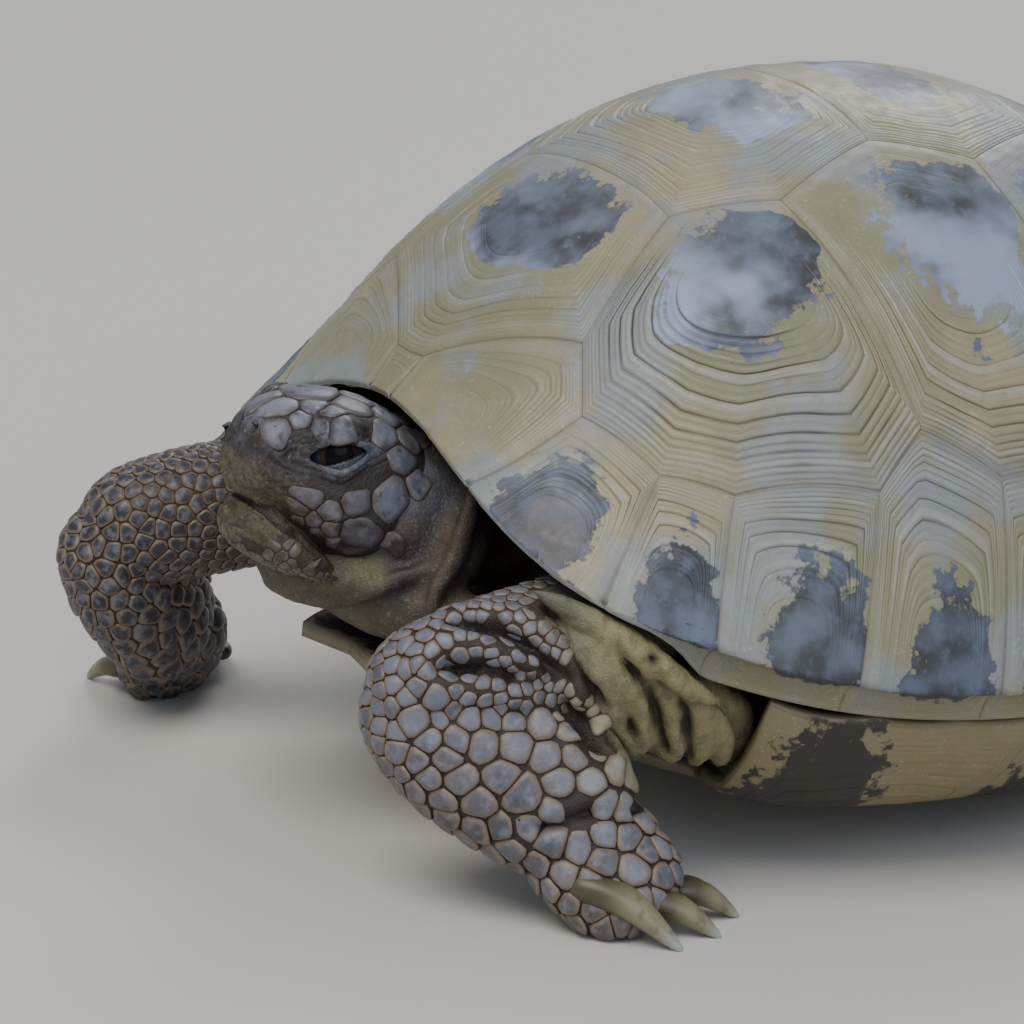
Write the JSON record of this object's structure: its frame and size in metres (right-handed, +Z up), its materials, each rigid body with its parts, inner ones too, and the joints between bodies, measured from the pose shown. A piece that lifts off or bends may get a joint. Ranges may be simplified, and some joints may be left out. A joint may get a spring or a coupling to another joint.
{
  "type": "tortoise",
  "caption": "Still life-size tortoise: domed shell of horny plates over a soft body, head raised, two strong forelegs, two hind legs, short tail and blunt claws, standing.",
  "frame": {"origin": "centre of the whole animal's plan box, on the floor it stands on", "axes": "the animal faces -Y, its left side is +X, +Z is up"},
  "size_m": [0.151, 0.1812, 0.1041],
  "materials": {
    "shell_horn": "ridged horn, olive and cream with blue-grey blotches, low sheen",
    "belly_horn": "smooth worn horn, yellow-olive with dark blotches, low sheen",
    "scaly_skin": "dry scaly hide, slate and brown, matt",
    "folded_skin": "dry loose hide, olive-yellow, matt",
    "claw_horn": "worn horn with pale tips, half-gloss",
    "eye_surface": "wet, almost black"
  },
  "bodies": {
    "root": {"vertebral_1": "shell_horn", "vertebral_2": "shell_horn", "vertebral_3": "shell_horn", "vertebral_4": "shell_horn", "vertebral_5": "shell_horn", "costal_left_1": "shell_horn", "costal_left_2": "shell_horn", "costal_left_3": "shell_horn", "costal_left_4": "shell_horn", "costal_right_1": "shell_horn", "costal_right_2": "shell_horn", "costal_right_3": "shell_horn", "costal_right_4": "shell_horn", "nuchal": "shell_horn", "rim_left": "shell_horn", "rim_right": "shell_horn", "supracaudal": "shell_horn", "plastron_gular": "belly_horn", "plastron_humeral": "belly_horn", "plastron_pectoral": "belly_horn", "plastron_abdominal": "belly_horn", "plastron_femoral": "belly_horn", "plastron_anal": "belly_horn", "trunk": "folded_skin", "head": "scaly_skin", "jaw": "scaly_skin", "neck": "scaly_skin", "tail": "scaly_skin", "foreleg_left_upper": "scaly_skin", "foreleg_left_lower": "scaly_skin", "foreleg_left_foot": "scaly_skin", "foreleg_right_upper": "scaly_skin", "foreleg_right_lower": "scaly_skin", "foreleg_right_foot": "scaly_skin", "hindleg_left_upper": "scaly_skin", "hindleg_left_lower": "scaly_skin", "hindleg_left_foot": "scaly_skin", "hindleg_right_upper": "scaly_skin", "hindleg_right_lower": "scaly_skin", "hindleg_right_foot": "scaly_skin", "eye_left": "eye_surface", "eye_right": "eye_surface", "foreleg_left_claw_1": "claw_horn", "foreleg_left_claw_2": "claw_horn", "foreleg_left_claw_3": "claw_horn", "foreleg_left_claw_4": "claw_horn", "foreleg_right_claw_1": "claw_horn", "foreleg_right_claw_2": "claw_horn", "foreleg_right_claw_3": "claw_horn", "foreleg_right_claw_4": "claw_horn", "hindleg_left_claw_1": "claw_horn", "hindleg_left_claw_2": "claw_horn", "hindleg_left_claw_3": "claw_horn", "hindleg_left_claw_4": "claw_horn", "hindleg_right_claw_1": "claw_horn", "hindleg_right_claw_2": "claw_horn", "hindleg_right_claw_3": "claw_horn", "hindleg_right_claw_4": "claw_horn"}
  },
  "joints": []
}
